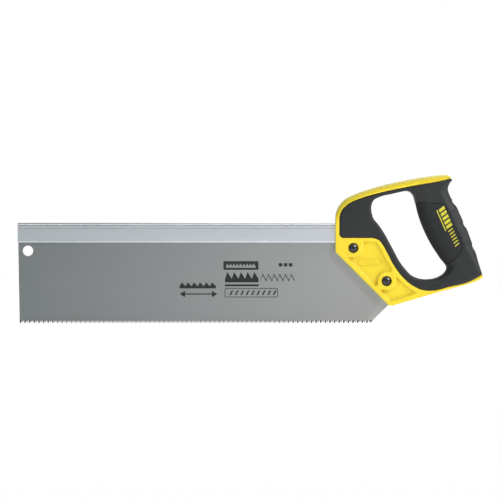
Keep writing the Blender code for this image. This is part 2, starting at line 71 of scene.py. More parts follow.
def box_mm(node):
    low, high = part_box(node)
    return Vector(low) / MM, Vector(high) / MM


blade_low, blade_high = box_mm("blade")
spine_low, spine_high = box_mm("spine")
core_low, core_high = box_mm("handle_core")
grip_low, grip_high = box_mm("grip_overmould")

# Blade
TOOTH_COUNT = 152
TOOTH_PITCH = 25.4 / 11
TOOTH_DEPTH = 2.5
# Shares of the pitch: where a tooth's point starts and ends, and where the gullet's flat starts.
# Teeth lean to the two sides in turn, and every second one shows more of itself.
TOOTH_SHARES = ((0.14, 0.56, 0.97), (0.42, 0.47, 0.70))
TOOTH_SET = 0.22
TOOTH_LAND = 0.16
TOOTH_BEND = TOOTH_DEPTH * 0.75  # height where a tooth starts to lean
HEEL_RISE = 0.3
TOE_SLANT = 1.6
TEETH_START = blade_low.x + TOE_SLANT
HANG_HOLE = (10.0, 72.2)  # from the blade box's low corner
HANG_HOLE_RADIUS = 5.2
INK = 0.03

# Folded back
BEAD_HALF = 2.8
BEAD_DEPTH = 5.4
CREASE_SHADE = 0.7  # how far the painted shade reaches to both sides of the crease below the bead
FLANK_HALF = 2.3
LIP_HALF = 2.5
LIP_DEPTH = 1.8
LIP_SLOPE = 0.35
CROWN_FALL = 3.4  # how far down the fold's rounded crown reaches
FOLD_GAP = 0.05
ROOF_GAP = 0.1
TOE_CHAMFER = 0.25
TOE_SHRINK = 0.12

# Handle
CORE_HALF = core_high.y
PANEL_HALF = 11.0
GRIP_SWELL = grip_high.y - PANEL_HALF - 0.05
RUBBER_INSET = 0.6
POCKET_DEPTH = 3.2
POCKET_RUN = 2.2
POCKET_LEAD = 0.35  # how far a recess's wall starts outside its outline
POCKET_SHIFTS = np.array([(0.45, 0.2), (-0.45, -0.2), (0.2, -0.45), (-0.2, 0.45)])  # averaged
SCOOP_RISE = 2.3  # the recesses' floor curves up towards the rubber
SCOOP_REACH = 8.0
POCKET_MARGIN = 1.5  # heights are worked out this far round a recess
BACK_GAP = 0.15
SINK_DEPTH = 2.6
SINK_RADIUS = 5.15
HEAD_GAP = 0.5
HEAD_THICK = 2.0
SHANK_RADIUS = 3.2
DOME = 1.3
BOSS_RADIUS = 8.8
BOSS_FRONT = (17.7, 57.7)
BOSS_REAR = (50.9, 24.7)
BADGE_CENTRE = (34.4, 43.6)
BADGE_SIZE = (24.0, 7.0)
BADGE_RAISED = 0.6
BADGE_PLATE_SUNK = 0.25
BADGE_TEETH_RAISED = 0.3
SHOULDER_REACH = 5.1
SHOULDER_FALL = 5.0
PANEL_SUNK = 0.25
RIDGE_RISE = 0.4
RIDGE_RUN = 20.0
FINGER_CREASE = (0.2, 0.6)  # depth and width
MARK_PROUD = 0.12
MARK_SUNK = 0.2

# Rounded edges: how far in each one reaches and how far it falls, and what is added to both
# where the fingers or the palm close round the grip, or at the core's front shoulder
HOLE_ROUND, FINGER_ROUND = (2.6, 2.6), (9.0, 7.4)
BACK_ROUND, PALM_ROUND = (1.6, 1.6), (8.0, 3.4)
CORE_ROUND, SHOULDER_ROUND = (0.9, 0.7), (3.6, 3.0)
RUBBER_SEAM_ROUND, CORE_SEAM_ROUND, SINK_ROUND = (2.2, 1.8), (0.6, 0.7), (0.5, 0.35)
RUBBER_GROOVE_ROUND, PANEL_GROOVE_ROUND = (0.9, 1.0), (0.8, 0.8)

# Where the handle's form changes, in the frame: where each change starts and is complete
GRIP_LEAN = 0.475  # slope of the lines along the grip
GRIP_DOWN = Vector((0.40, -0.916))  # along the grip, downwards
GRIP_ACROSS = Vector((0.916, 0.40))
FOOT_SLOPE = 0.42
FOOT_START = 190.0
FINGER_ACROSS, FINGER_TOP, FINGER_FOOT = (194.0, 214.0), (131.0, 117.0), (38.0, 56.0)
PALM_ACROSS, PALM_TOP, PALM_FOOT = (246.0, 254.0), (143.5, 131.0), (18.0, 62.0)
SWELL_ACROSS = (206.0, 238.0)
SHOULDER_BOTTOM, SHOULDER_END = (98.0, 118.0), (202.0, 194.0)

# Handle outlines, from the core box's low front corner
FRONT_EDGE = [(53.5, 0.2), (0.0, 53.7), (0.0, 78.7)]
TOP_EDGE = [
    (0.1, 86.7), (1.8, 96.3), (8.7, 105.5), (20.2, 111.6), (38.4, 117.8), (61.5, 123.6),
    (85.9, 128.2), (99.3, 130.1), (106.0, 130.7), (111.9, 130.4), (115.1, 127.7),
]
BOTTOM_EDGE = [
    (146.95, 28.2), (140.4, 24.6), (134.4, 22.5), (124.2, 19.5), (106.2, 14.6), (76.0, 5.7),
    (56.7, 0.0),
]
SEAM_TOP = [
    (114.5, 126.9), (105.0, 124.4), (96.0, 122.7), (66.0, 117.5), (46.0, 113.3), (26.0, 107.6),
    (13.6, 102.3), (6.2, 95.3), (3.8, 86.7),
]
SEAM_CORNER = ((3.8, 67.7), 4.0)
SEAM_BOTTOM = [
    (33.7, 67.7), (38.0, 67.3), (42.2, 66.0), (47.6, 60.0), (51.6, 52.6), (55.4, 45.1),
    (65.6, 30.1), (75.6, 21.0), (86.0, 16.0), (97.7, 15.2), (112.7, 18.8), (122.7, 21.1),
    (132.4, 24.0), (140.4, 27.9), (146.3, 31.4),
]
PALM_UPPER = [(116.7, 125.5), (113.6, 121.7), (112.1, 116.7), (113.6, 111.2), (116.4, 105.9)]
PALM_RIDGES = [
    [(116.5, 104.2), (118.0, 101.9), (119.9, 100.0), (123.8, 92.1), (127.2, 84.7)],
    [(127.3, 82.8), (128.5, 80.0), (130.4, 77.5), (133.5, 70.0), (136.3, 62.3)],
    [(136.3, 60.4), (137.2, 57.9), (138.6, 55.6), (142.7, 42.7), (146.2, 31.5)],
]
HAND_HOLE = [
    (35.7, 98.7), (38.3, 105.4), (44.7, 108.8), (56.7, 111.8), (66.0, 113.9), (70.2, 114.7),
    (73.7, 114.1), (76.5, 111.8), (79.5, 103.7), (82.3, 92.2), (88.3, 75.7), (96.3, 60.2),
    (101.0, 52.9), (105.7, 46.1), (108.5, 42.8), (110.4, 40.0), (110.8, 36.7), (109.0, 33.4),
    (102.7, 29.0), (94.7, 26.8), (85.9, 26.8), (77.2, 29.6), (67.5, 39.2), (55.3, 60.2),
    (46.9, 75.2), (42.5, 81.4), (37.8, 87.4), (36.1, 93.0),
]
GROOVE = [
    (79.6, 104.2), (82.4, 103.5), (89.5, 103.0), (99.5, 102.0), (105.3, 101.9), (108.2, 100.8),
    (110.2, 98.2), (112.0, 93.2), (116.1, 84.0), (121.9, 72.4), (125.3, 64.9), (126.2, 60.5),
    (126.0, 56.9), (124.4, 53.2), (119.5, 47.9), (114.4, 42.8), (112.6, 41.9), (110.4, 41.6),
]
CREASE = [
    (92.3, 101.5), (94.9, 95.7), (100.2, 83.7), (105.8, 72.1), (110.8, 62.1), (113.5, 53.9),
    (113.9, 45.0),
]
POCKET_REAR = [
    (36.4, 64.6), (42.4, 62.0), (45.9, 56.3), (50.3, 47.7), (57.9, 35.7), (69.6, 21.4),
    (82.7, 13.1),
]
TANG = [
    (62.2, 9.8), (65.0, 14.2), (60.3, 26.7), (51.7, 42.7), (42.7, 57.7), (32.7, 66.7),
    (28.7, 80.0),
]
TANG_SLOT = [(62.2, 8.6), (65.3, 14.2), *TANG[2:5], (30.0, 70.0)]


# Outlines

def smooth_path(points, spacing=1.0, closed=False):
    """Evenly spaced points along a smooth curve through the given ones."""
    knots = [Vector((*p, 0.0)) for p in points]
    count = len(knots)
    tangents = []
    for i, here in enumerate(knots):
        if not closed and i in (0, count - 1):
            tangents.append(None)
            continue
        before = here - knots[i - 1]
        after = knots[(i + 1) % count] - here
        mix = before.normalized() * after.length + after.normalized() * before.length
        tangents.append(mix.normalized())
    if not closed:
        for end, inner in ((0, 1), (count - 1, count - 2)):
            chord = (knots[inner] - knots[end]).normalized() * (1 if end == 0 else -1)
            mirrored = 2 * chord.dot(tangents[inner]) * chord - tangents[inner]
            tangents[end] = mirrored.normalized()
    path = []
    for i in range(count if closed else count - 1):
        here, there = knots[i], knots[(i + 1) % count]
        reach = (there - here).length / 3
        handle_out = here + tangents[i] * reach
        handle_in = there - tangents[(i + 1) % count] * reach
        steps = max(1, round((there - here).length / spacing))
        path += interpolate_bezier(here, handle_out, handle_in, there, steps + 1)[:-1]
    if not closed:
        path.append(knots[-1])
    return [(p.x, p.y) for p in path]


def straight(points, spacing=1.0, closed=False):
    """Evenly spaced points along straight lines, both ends included unless closed."""
    path = []
    ends = points[1:] + points[:1] if closed else points[1:]
    for start, end in zip(points, ends):
        steps = max(1, round(math.dist(start, end) / spacing))
        for i in range(steps):
            share = i / steps
            path.append(tuple(a + (b - a) * share for a, b in zip(start, end)))
    if not closed:
        path.append(tuple(points[-1]))
    return path


def arc(centre, radius, start, end, steps):
    """Points on a circle from the start to the end angle, in degrees, ends included."""
    angles = [math.radians(start + (end - start) * i / steps) for i in range(steps + 1)]
    return [(centre[0] + radius * math.cos(a), centre[1] + radius * math.sin(a)) for a in angles]


def circle(centre, radius, steps):
    return arc(centre, radius, 0, 360, steps)[:-1]


def fillet(before, corner, after, radius, steps=6):
    """The points that round one corner of a polygon."""
    here = Vector(corner)
    a = (Vector(before) - here).normalized()
    b = (Vector(after) - here).normalized()
    half = a.angle(b) / 2
    reach = radius / math.tan(half)
    middle = here + (a + b).normalized() * radius / math.sin(half)
    start = here + a * reach - middle
    end = here + b * reach - middle
    turn = start.angle_signed(end)
    spokes = [Matrix.Rotation(-turn * i / steps, 2) @ start for i in range(steps + 1)]
    return [tuple(middle + spoke) for spoke in spokes]


def rounded_path(corners):
    """The filleted corners of an open path. Its two ends only aim the first and last turns."""
    path = []
    for before, (x, z, radius), after in zip(corners, corners[1:-1], corners[2:]):
        path += fillet(before[:2], (x, z), after[:2], radius)
    return path


def rounded(corners):
    """A polygon of (x, z, radius) corners with every corner filleted."""
    return rounded_path([corners[-1]] + corners + [corners[0]])


def round_box(centre, width, height, radius):
    x, z = centre
    w, h = width / 2, height / 2
    corners = [(x - w, z - h), (x + w, z - h), (x + w, z + h), (x - w, z + h)]
    return rounded([(*corner, radius) for corner in corners])


def area(loop):
    pairs = zip(loop, loop[1:] + loop[:1])
    return sum(a[0] * b[1] - b[0] * a[1] for a, b in pairs) / 2


def outward(loop):
    """The outward mitre vector at each point of a closed loop."""
    side = 1 if area(loop) > 0 else -1
    vectors = []
    for i, point in enumerate(loop):
        here = Vector(point)
        before = (here - Vector(loop[i - 1])).normalized()
        after = (Vector(loop[(i + 1) % len(loop)]) - here).normalized()
        normal = Vector((before.y + after.y, -before.x - after.x)).normalized() * side
        lean = max(0.5, normal.dot(Vector((after.y, -after.x)) * side))
        vectors.append(normal / lean)
    return vectors


def grown(loop, distance):
    return [tuple(Vector(p) + n * distance) for p, n in zip(loop, outward(loop))]


def on_handle(points):
    """Moves outline points from the handle's own corner to the frame's axes."""
    return [(p[0] + core_low.x, p[1] + core_low.z, *p[2:]) for p in points]


def inside(points, loop):
    """For each point, whether it lies inside the closed loop."""
    a = np.array(loop)
    b = np.roll(a, -1, axis=0)
    found = np.zeros(len(points), bool)
    for (ax, az), (bx, bz) in zip(a, b):
        if az == bz:
            continue
        crosses = (points[:, 1] < az) != (points[:, 1] < bz)
        at = ax + (points[:, 1] - az) * (bx - ax) / (bz - az)
        found ^= crosses & (points[:, 0] < at)
    return found


def distance(points, path, closed=False):
    """Each point's distance to a path."""
    a = np.array(path)[:, :2]
    b = np.roll(a, -1, axis=0)
    if not closed:
        a, b = a[:-1], b[:-1]
    best = np.full(len(points), np.inf)
    for start, end in zip(a, b):
        run = end - start
        length = run @ run
        if length == 0:
            continue
        share = np.clip((points - start) @ run / length, 0, 1)
        gap = points - start - share[:, None] * run
        best = np.minimum(best, np.einsum("ij,ij->i", gap, gap))
    return np.sqrt(best)


def depth_in(points, loop):
    """Signed distance to a closed loop, positive inside it."""
    return np.where(inside(points, loop), 1, -1) * distance(points, loop, closed=True)


def ramp(value, low, high):
    share = np.clip((value - low) / (high - low), 0, 1)
    return share * share * (3 - 2 * share)


def drop(gap, edge, extra=(0.0, 0.0), share=0.0):
    """How far a rounded edge has fallen at a distance from it, with a share of extra rounding."""
    reach, fall = (start + more * share for start, more in zip(edge, extra))
    near = np.clip(1 - gap / reach, 0, 1)
    return fall * (1 - np.sqrt(1 - near * near))


# Meshes

CLOSEST = 0.05  # points nearer to an outline than this are left out
ON_RELIEF = 0.004  # vertices this near to a relief's height belong to it
RIM_STEP = 0.04
SLOPE_STEP = 0.02

# Distances of the rows of points laid along the finer edges
CREASE_ROWS = (-1.2, -0.8, -0.5, -0.25, 0.0, 0.25, 0.5, 0.8, 1.2)
POCKET_ROWS = (-0.5, -0.3, -0.1, 0.15, 0.45, 0.8, 1.2, 1.6, 2.0, 2.3, 2.6, 2.9)
BADGE_ROWS = (-0.4, -0.2, 0.0, 0.2, 0.45, 0.7, 0.95, 1.25, 1.5)
SINK_ROWS = (-1.0, -0.6, -0.4, -0.2, -0.1, 0.05, 0.15, 0.25, 0.35, 0.5)


def make_object(name, verts, faces, material, smooth_angle=38):
    data = bpy.data.meshes.new(name)
    data.from_pydata((np.asarray(verts, float) * MM).tolist(), [], faces)
    data.validate()
    data.shade_smooth()
    data.set_sharp_from_angle(angle=math.radians(smooth_angle))
    data.materials.append(material)
    obj = bpy.data.objects.new(name, data)
    bpy.context.scene.collection.objects.link(obj)
    return obj


def honeycomb(low, high, spacing):
    """Points in staggered rows that fill a box."""
    rows = np.arange(low[1], high[1], spacing * 0.866)
    points = []
    for i, z in enumerate(rows):
        xs = np.arange(low[0] + (i % 2) * spacing / 2, high[0], spacing)
        points.append(np.column_stack([xs, np.full(len(xs), z)]))
    return np.concatenate(points)


def triangulate(loops, points):
    """Triangles over the area inside the first loop and outside the others."""
    verts, edges = [], []
    for loop in loops:
        start = len(verts)
        verts += [p[:2] for p in loop]
        edges += [(start + i, start + (i + 1) % len(loop)) for i in range(len(loop))]
    if len(points):
        keep = inside(points, loops[0])
        near = distance(points, loops[0], closed=True)
        for hole in loops[1:]:
            keep &= ~inside(points, hole)
            near = np.minimum(near, distance(points, hole, closed=True))
        verts += points[keep & (near > CLOSEST)].tolist()
    made = delaunay_2d_cdt([Vector(v) for v in verts], edges, [], 0, 0.0005)
    flat = np.array([tuple(v) for v in made[0]])
    faces = np.array([f for f in made[2] if len(f) == 3])
    middles = flat[faces].mean(axis=1)
    keep = inside(middles, loops[0])
    for hole in loops[1:]:
        keep &= ~inside(middles, hole)
    faces = faces[keep]
    used, index = np.unique(faces, return_inverse=True)
    return flat[used], index.reshape(-1, 3)


def solid_sheet(name, loops, points, front, back, material, wall_rows=1, smooth_angle=38):
    """A closed piece whose front and back are heights over the same flat area.

    front and back take an array of (x, z) points and give each one's y. The front looks
    towards -Y. Walls join the two along every edge of the area.
    """
    flat, faces = triangulate(loops, np.asarray(points, float).reshape(-1, 2))
    count = len(flat)
    y_front, y_back = front(flat), back(flat)
    pairs = {}
    for a, b, c in faces:
        for edge in ((a, b), (b, c), (c, a)):
            pairs[edge] = True
    rim = [edge for edge in pairs if (edge[1], edge[0]) not in pairs]
    verts = [np.column_stack([flat[:, 0], ys, flat[:, 1]]) for ys in (y_front, y_back)]
    rim_points = sorted({a for a, _ in rim})
    place_of = {}
    total = 2 * count
    for row in range(1, wall_rows):
        share = row / wall_rows
        ys = y_front[rim_points] * (1 - share) + y_back[rim_points] * share
        verts.append(np.column_stack([flat[rim_points, 0], ys, flat[rim_points, 1]]))
        for i, p in enumerate(rim_points):
            place_of[row, p] = total + i
        total += len(rim_points)
    for p in rim_points:
        place_of[0, p] = p
        place_of[wall_rows, p] = count + p
    walls = []
    for a, b in rim:
        for row in range(wall_rows):
            after = row + 1
            walls.append((place_of[row, b], place_of[row, a], place_of[after, a], place_of[after, b]))
    all_faces = faces.tolist() + (faces[:, ::-1] + count).tolist() + walls
    return make_object(name, np.concatenate(verts), all_faces, material, smooth_angle)


def averages(values, groups, count):
    """The mean of each column of values over the members of each group."""
    sums = [np.bincount(groups, weights=column, minlength=count) for column in values.T]
    return np.column_stack(sums) / np.maximum(np.bincount(groups, minlength=count), 1)[:, None]


def shade_relief(obj, height):
    """Gives the front and back of a relief the exact normals of its height function.

    A point on the rim is sampled a little way inside, towards the faces that it belongs to.
    """
    data = obj.data
    count = len(data.vertices)
    spots = np.empty(count * 3)
    data.vertices.foreach_get("co", spots)
    spots = spots.reshape(-1, 3) / MM
    flat = spots[:, [0, 2]]
    level = np.abs(np.abs(spots[:, 1]) - height(flat)) < ON_RELIEF
    corners = np.empty(len(data.loops), int)
    data.loops.foreach_get("vertex_index", corners)
    normals = np.empty(len(data.loops) * 3, np.float32)
    data.corner_normals.foreach_get("vector", normals)
    normals = normals.reshape(-1, 3)
    starts = np.empty(len(data.polygons), int)
    data.polygons.foreach_get("loop_start", starts)
    face_of = np.searchsorted(starts, np.arange(len(data.loops)), side="right") - 1
    sizes = np.bincount(face_of)
    on_relief = np.bincount(face_of, weights=level[corners]) == sizes
    middles = averages(flat[corners], face_of, len(sizes))
    chosen = on_relief[face_of]
    vertex = corners[chosen]
    used = np.unique(vertex)
    aim = averages(middles[face_of[chosen]], vertex, count)[used] - flat[used]
    rim = np.isin(used, np.unique(corners[~chosen]))
    reach = np.maximum(np.linalg.norm(aim, axis=1), 1e-6)
    sample = flat[used] + np.where(rim, RIM_STEP / reach, 0.0)[:, None] * aim
    here = height(sample)
    shifts = np.eye(2) * SLOPE_STEP
    slope = np.column_stack([(height(sample + shift) - here) / SLOPE_STEP for shift in shifts])
    side = np.sign(spots[used, 1])
    exact = np.column_stack([-slope[:, 0], side, -slope[:, 1]])
    exact /= np.linalg.norm(exact, axis=1)[:, None]
    table = np.zeros((count, 3))
    table[used] = exact
    normals[chosen] = table[vertex]
    data.normals_split_custom_set(normals.tolist())


def prism(name, loops, low_y, high_y, material):
    sides = (lambda p: np.full(len(p), low_y)), (lambda p: np.full(len(p), high_y))
    return solid_sheet(name, loops, np.empty((0, 2)), *sides, material, smooth_angle=30)


def relief(name, loops, points, height, material, exact=True):
    """A piece with the same relief on its front and its back."""
    obj = solid_sheet(name, loops, points, lambda p: -height(p), height, material, wall_rows=3)
    if exact:
        shade_relief(obj, height)
    return obj


def apply_modifier(obj, kind, **settings):
    modifier = obj.modifiers.new("step", kind)
    for key, value in settings.items():
        setattr(modifier, key, value)
    bpy.context.view_layer.update()
    graph = bpy.context.evaluated_depsgraph_get()
    data = bpy.data.meshes.new_from_object(obj.evaluated_get(graph))
    obj.modifiers.clear()
    obj.data = data


def subtract(obj, tool):
    """Cuts a tool out of a piece and removes the tool."""
    apply_modifier(obj, "BOOLEAN", operation="DIFFERENCE", solver="MANIFOLD", object=tool)
    bpy.data.objects.remove(tool, do_unlink=True)


def flatten_flats(obj, angle):
    """Smooths round stretches while large flat faces keep their own normals."""
    obj.data.shade_smooth()
    obj.data.set_sharp_from_angle(angle=math.radians(angle))
    apply_modifier(obj, "WEIGHTED_NORMAL", keep_sharp=True)


def keep_piece(obj, node, replaces=False):
    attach(obj, "root")
    if replaces:
        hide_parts(node)
    return obj


# Materials

class Look:
    """A Principled material with short ways to add procedural nodes to it."""

    def __init__(self, name, specular=0.5, **settings):
        self.material = bpy.data.materials.new(name)
        self.material.use_nodes = True
        self.tree = self.material.node_tree
        self.shader = self.tree.nodes["Principled BSDF"]
        self.shader.inputs["Specular IOR Level"].default_value = specular
        self.set_up(self.shader, settings)
        self.place = self.node("TexCoord").outputs["Object"]
        self.normal = None

    def set_up(self, node, settings):
        for key, value in settings.items():
            if hasattr(node, key):
                setattr(node, key, value)
            else:
                node.inputs[key.replace("_", " ").title()].default_value = value
        return node

    def node(self, kind, **settings):
        return self.set_up(self.tree.nodes.new("ShaderNode" + kind), settings)

    def link(self, source, target):
        self.tree.links.new(source, target)

    def stretched(self, scale):
        mapping = self.node("Mapping")
        mapping.inputs["Scale"].default_value = scale
        self.link(self.place, mapping.inputs["Vector"])
        return mapping.outputs["Vector"]

    def noise(self, scale, detail=3.0, stretch=(1, 1, 1)):
        made = self.node("TexNoise", scale=scale, detail=detail)
        self.link(self.stretched(stretch), made.inputs["Vector"])
        return made.outputs["Fac"]

    def cells(self, scale):
        made = self.node("TexVoronoi", scale=scale)
        self.link(self.place, made.inputs["Vector"])
        return made.outputs["Distance"]

    def span(self, source, low, high, start=0.0, end=1.0):
        """Maps start..end of a value to low..high."""
        made = self.node("MapRange", from_min=start, from_max=end, to_min=low, to_max=high)
        self.link(source, made.inputs["Value"])
        return made.outputs["Result"]

    def blend_color(self, factor, first, second):
        made = self.node("Mix", data_type="RGBA")
        self.link(factor, made.inputs["Factor"])
        color_inputs = [s for s in made.inputs if s.type == "RGBA"]
        for socket, value in zip(color_inputs, (first, second)):
            if isinstance(value, tuple):
                socket.default_value = (*value, 1)
            else:
                self.link(value, socket)
        return [s for s in made.outputs if s.type == "RGBA"][0]

    def math(self, operation, first, second):
        made = self.node("Math", operation=operation)
        for socket, value in zip(made.inputs, (first, second)):
            if isinstance(value, float):
                socket.default_value = value
            else:
                self.link(value, socket)
        return made.outputs[0]

    def mottled(self, source, start, end, first, second):
        """Goes from the first to the second colour as a value goes from start to end."""
        return self.blend_color(self.span(source, 0.0, 1.0, start, end), first, second)

    def color(self, source):
        self.link(source, self.shader.inputs["Base Color"])

    def roughness(self, source):
        self.link(source, self.shader.inputs["Roughness"])

    def bump(self, source, depth_mm):
        made = self.node("Bump", strength=1.0, distance=depth_mm * MM)
        self.link(source, made.inputs["Height"])
        if self.normal is not None:
            self.link(self.normal, made.inputs["Normal"])
        self.normal = made.outputs["Normal"]
        self.link(self.normal, self.shader.inputs["Normal"])

    def axis(self, letter):
        made = self.node("SeparateXYZ")
        self.link(self.place, made.inputs["Vector"])
        return made.outputs[letter]


def blade_steel():
    """Ground steel with a painted reflection that brightens it towards the handle, and dark tooth
    points: hardened steel, with every second tooth painted darker as shade.
    """
    look = Look("blade_steel", metallic=1.0)
    # Painted reflection: the steel's colour brightens from the toe towards the handle
    along = look.span(look.axis("X"), 0.0, 1.0, blade_low.x * MM, core_low.x * MM)
    tone = look.blend_color(along, (0.225, 0.250, 0.252), (0.395, 0.405, 0.405))
    streaks = look.noise(900, 4, (0.02, 1, 1))
    light = look.blend_color(look.span(streaks, 0.0, 0.22), tone, (0.42, 0.43, 0.43))
    clouds = look.span(look.noise(14, 2), 0.0, 0.15, 0.35, 0.75)
    body = look.blend_color(clouds, light, (0.30, 0.31, 0.31))
    # Dark tooth points: hardened steel, with every second tooth painted near black as shade on its
    # leaning face
    tips = look.span(look.axis("Z"), 1.0, 0.0, 2.0 * MM, 3.0 * MM)
    end = TEETH_START + TOOTH_COUNT * TOOTH_PITCH
    number = look.span(look.axis("X"), 0.0, TOOTH_COUNT, TEETH_START * MM, end * MM)
    second = look.math("GREATER_THAN", look.math("FLOORED_MODULO", number, 2.0), 1.0)
    hardened_and_shaded = look.blend_color(second, (0.016, 0.017, 0.020), (0.24, 0.245, 0.25))
    look.color(look.blend_color(tips, body, hardened_and_shaded))
    look.roughness(look.span(streaks, 0.30, 0.44))
    look.bump(streaks, 0.006)
    return look.material


def back_steel():
    """Bright plated steel with a painted shade line in the crease below the bead."""
    look = Look("back_steel", metallic=1.0)
    # Painted reflection: the plated steel's colour brightens from the toe towards the handle
    along = look.span(look.axis("X"), 0.0, 1.0, spine_low.x * MM, core_low.x * MM)
    tone = look.blend_color(along, (0.680, 0.740, 0.770), (0.860, 0.910, 0.960))
    streaks = look.noise(700, 3, (0.015, 1, 1))
    metal = look.blend_color(look.span(streaks, 0.0, 0.2), tone, (0.92, 0.95, 0.98))
    # Painted shade: a dark line along the crease below the bead
    crease, reach = (spine_high.z - BEAD_DEPTH) * MM, CREASE_SHADE * MM
    above = look.span(look.axis("Z"), 0.0, 0.75, crease - reach, crease)
    below = look.span(look.axis("Z"), 1.0, 0.0, crease, crease + reach)
    look.color(look.blend_color(look.math("MULTIPLY", above, below), metal, (0.20, 0.21, 0.22)))
    look.roughness(look.span(look.noise(60, 3, (0.1, 1, 1)), 0.20, 0.32))
    look.bump(streaks, 0.004)
    return look.material


def yellow_plastic():
    """Satin plastic, with a painted reflection that pales it where it turns away from the eye and
    painted shade that deepens it in its recesses.
    """
    look = Look("yellow_plastic", specular=0.45)
    body = look.mottled(look.noise(35, 3), 0.3, 0.7, (0.77, 0.590, 0.018), (0.74, 0.560, 0.014))
    # Painted reflection: surfaces turned away from the eye are blended towards a pale grey yellow
    facing = look.node("LayerWeight", blend=0.5).outputs["Facing"]
    pale = look.mottled(facing, 0.28, 0.85, body, (0.72, 0.67, 0.17))
    # Painted shade: occluded spots in the recesses are blended to a deep orange yellow
    recess_occlusion = look.node("AmbientOcclusion", samples=8, only_local=True, distance=5.0 * MM)
    look.color(look.mottled(recess_occlusion.outputs["AO"], 0.93, 0.55, pale, (0.56, 0.36, 0.003)))
    grain = look.noise(2600, 2)
    look.roughness(look.span(grain, 0.44, 0.56))
    look.bump(grain, 0.003)
    look.bump(look.noise(160, 2), 0.009)
    return look.material


def grip_rubber():
    look = Look("grip_rubber", specular=0.40, sheen_weight=0.05, sheen_roughness=0.5)
    clouds = look.noise(40, 3)
    look.color(look.mottled(clouds, 0.3, 0.7, (0.006, 0.0080, 0.0088), (0.010, 0.0122, 0.0132)))
    grain = look.noise(1900, 3)
    look.roughness(look.span(grain, 0.42, 0.58))
    look.bump(grain, 0.012)
    look.bump(look.noise(120, 2), 0.02)
    return look.material


def panel_rubber():
    look = Look("panel_rubber", specular=0.35)
    dots = look.cells(1500)
    look.color(look.mottled(dots, 0.0, 0.6, (0.021, 0.023, 0.025), (0.010, 0.011, 0.012)))
    look.roughness(look.span(look.noise(800, 3), 0.66, 0.88))
    look.bump(dots, 0.10)
    look.bump(look.noise(2200, 2), 0.02)
    return look.material


def grip_yellow():
    look = Look("grip_yellow", specular=0.4)
    grain = look.noise(1500, 3)
    look.color(look.mottled(grain, 0.3, 0.7, (0.56, 0.51, 0.030), (0.46, 0.42, 0.020)))
    look.roughness(look.span(grain, 0.45, 0.62))
    look.bump(grain, 0.012)
    return look.material


def black_steel():
    look = Look("black_steel", specular=0.6, coat_weight=0.3, coat_roughness=0.12)
    marks = look.noise(420, 3)
    look.color(look.mottled(marks, 0.4, 0.8, (0.005, 0.005, 0.006), (0.012, 0.012, 0.013)))
    look.roughness(look.span(marks, 0.16, 0.30))
    look.bump(marks, 0.01)
    return look.material


def ink_material():
    look = Look("blade_ink", specular=0.3)
    wear = look.noise(700, 4, (0.3, 1, 1))
    look.color(look.mottled(wear, 0.45, 0.8, (0.013, 0.014, 0.015), (0.026, 0.028, 0.029)))
    look.roughness(look.span(wear, 0.42, 0.6))
    look.bump(wear, 0.004)
    return look.material


def floor_material():
    """A pale translucent sheet lit from below, which takes more shadow the higher it is seen from."""
    glow = {"emission_color": (1, 1, 1, 1), "emission_strength": FLOOR_GLOW}
    look = Look("floor_paint", specular=0.1, roughness=0.8, **glow)
    look.color(look.blend_color(look.noise(3, 2), (0.93, 0.93, 0.93), (0.95, 0.95, 0.95)))

    def shader(kind, tone, **settings):
        made = look.node(kind, **settings)
        made.inputs["Color"].default_value = (tone, tone, tone, 1)
        return made.outputs[0]

    def join(kind, factor, first, second):
        made = look.node(kind)
        if factor is not None:
            look.link(factor, made.inputs["Fac"])
        look.link(first, made.inputs[-2])
        look.link(second, made.inputs[-1])
        return made.outputs[0]

    lit = shader("Emission", 1.0, strength=FLOOR_WHITE)
    sheet = join("AddShader", None, lit, shader("BsdfTranslucent", 0.93))
    height = look.node("SeparateXYZ")
    look.link(look.node("NewGeometry").outputs["Incoming"], height.inputs["Vector"])
    share = look.span(height.outputs["Z"], *FLOOR_SHADOW, *SHADOW_VIEW)
    seen = join("MixShader", share, sheet, shader("BsdfDiffuse", 0.93))
    to_camera = look.node("LightPath").outputs["Is Camera Ray"]
    either = join("MixShader", to_camera, look.shader.outputs[0], seen)
    look.link(either, look.tree.nodes["Material Output"].inputs["Surface"])
    return look.material


# Blade

def blade_outline():
    """Tooth line, 45 degree heel, tang inside the handle, top edge and slanted toe."""
    heel = TEETH_START + TOOTH_COUNT * TOOTH_PITCH
    teeth = []
    for i in range(TOOTH_COUNT - 1):
        left = TEETH_START + i * TOOTH_PITCH
        point, land, root = TOOTH_SHARES[i % 2]
        teeth.append((left, TOOTH_DEPTH))
        teeth.append((left + TOOTH_PITCH * point, 0.0))
        teeth.append((left + TOOTH_PITCH * land, 0.0))
        teeth.append((left + TOOTH_PITCH * root, TOOTH_DEPTH))
    teeth += [(heel - TOOTH_PITCH, TOOTH_DEPTH), (heel, HEEL_RISE)]
    return teeth + on_handle(TANG) + [(blade_low.x, blade_high.z)]


def blade_side(points, side):
    """The blade's face on one side, with each tooth bent away from its neighbours."""
    number = np.floor((points[:, 0] - TEETH_START) / TOOTH_PITCH)
    lean = np.where(number % 2 == 0, -1.0, 1.0) * TOOTH_SET
    tip = ramp(points[:, 1], TOOTH_BEND, 0.0)
    return side * blade_high.y * (1 - tip) + (lean + side * TOOTH_LAND) * tip


def make_blade(material):
    rows = []
    for i in range(TOOTH_COUNT):
        left = TEETH_START + i * TOOTH_PITCH
        rows.append((left + TOOTH_PITCH * 0.36, TOOTH_BEND))
        rows.append((left + TOOTH_PITCH * 0.5, TOOTH_DEPTH + 0.4))
    hole = circle((blade_low.x + HANG_HOLE[0], HANG_HOLE[1]), HANG_HOLE_RADIUS, 64)
    sides = (lambda p: blade_side(p, -1)), (lambda p: blade_side(p, 1))
    return solid_sheet("blade_plate", [blade_outline(), hole], rows, *sides, material, smooth_angle=20)


# Folded back

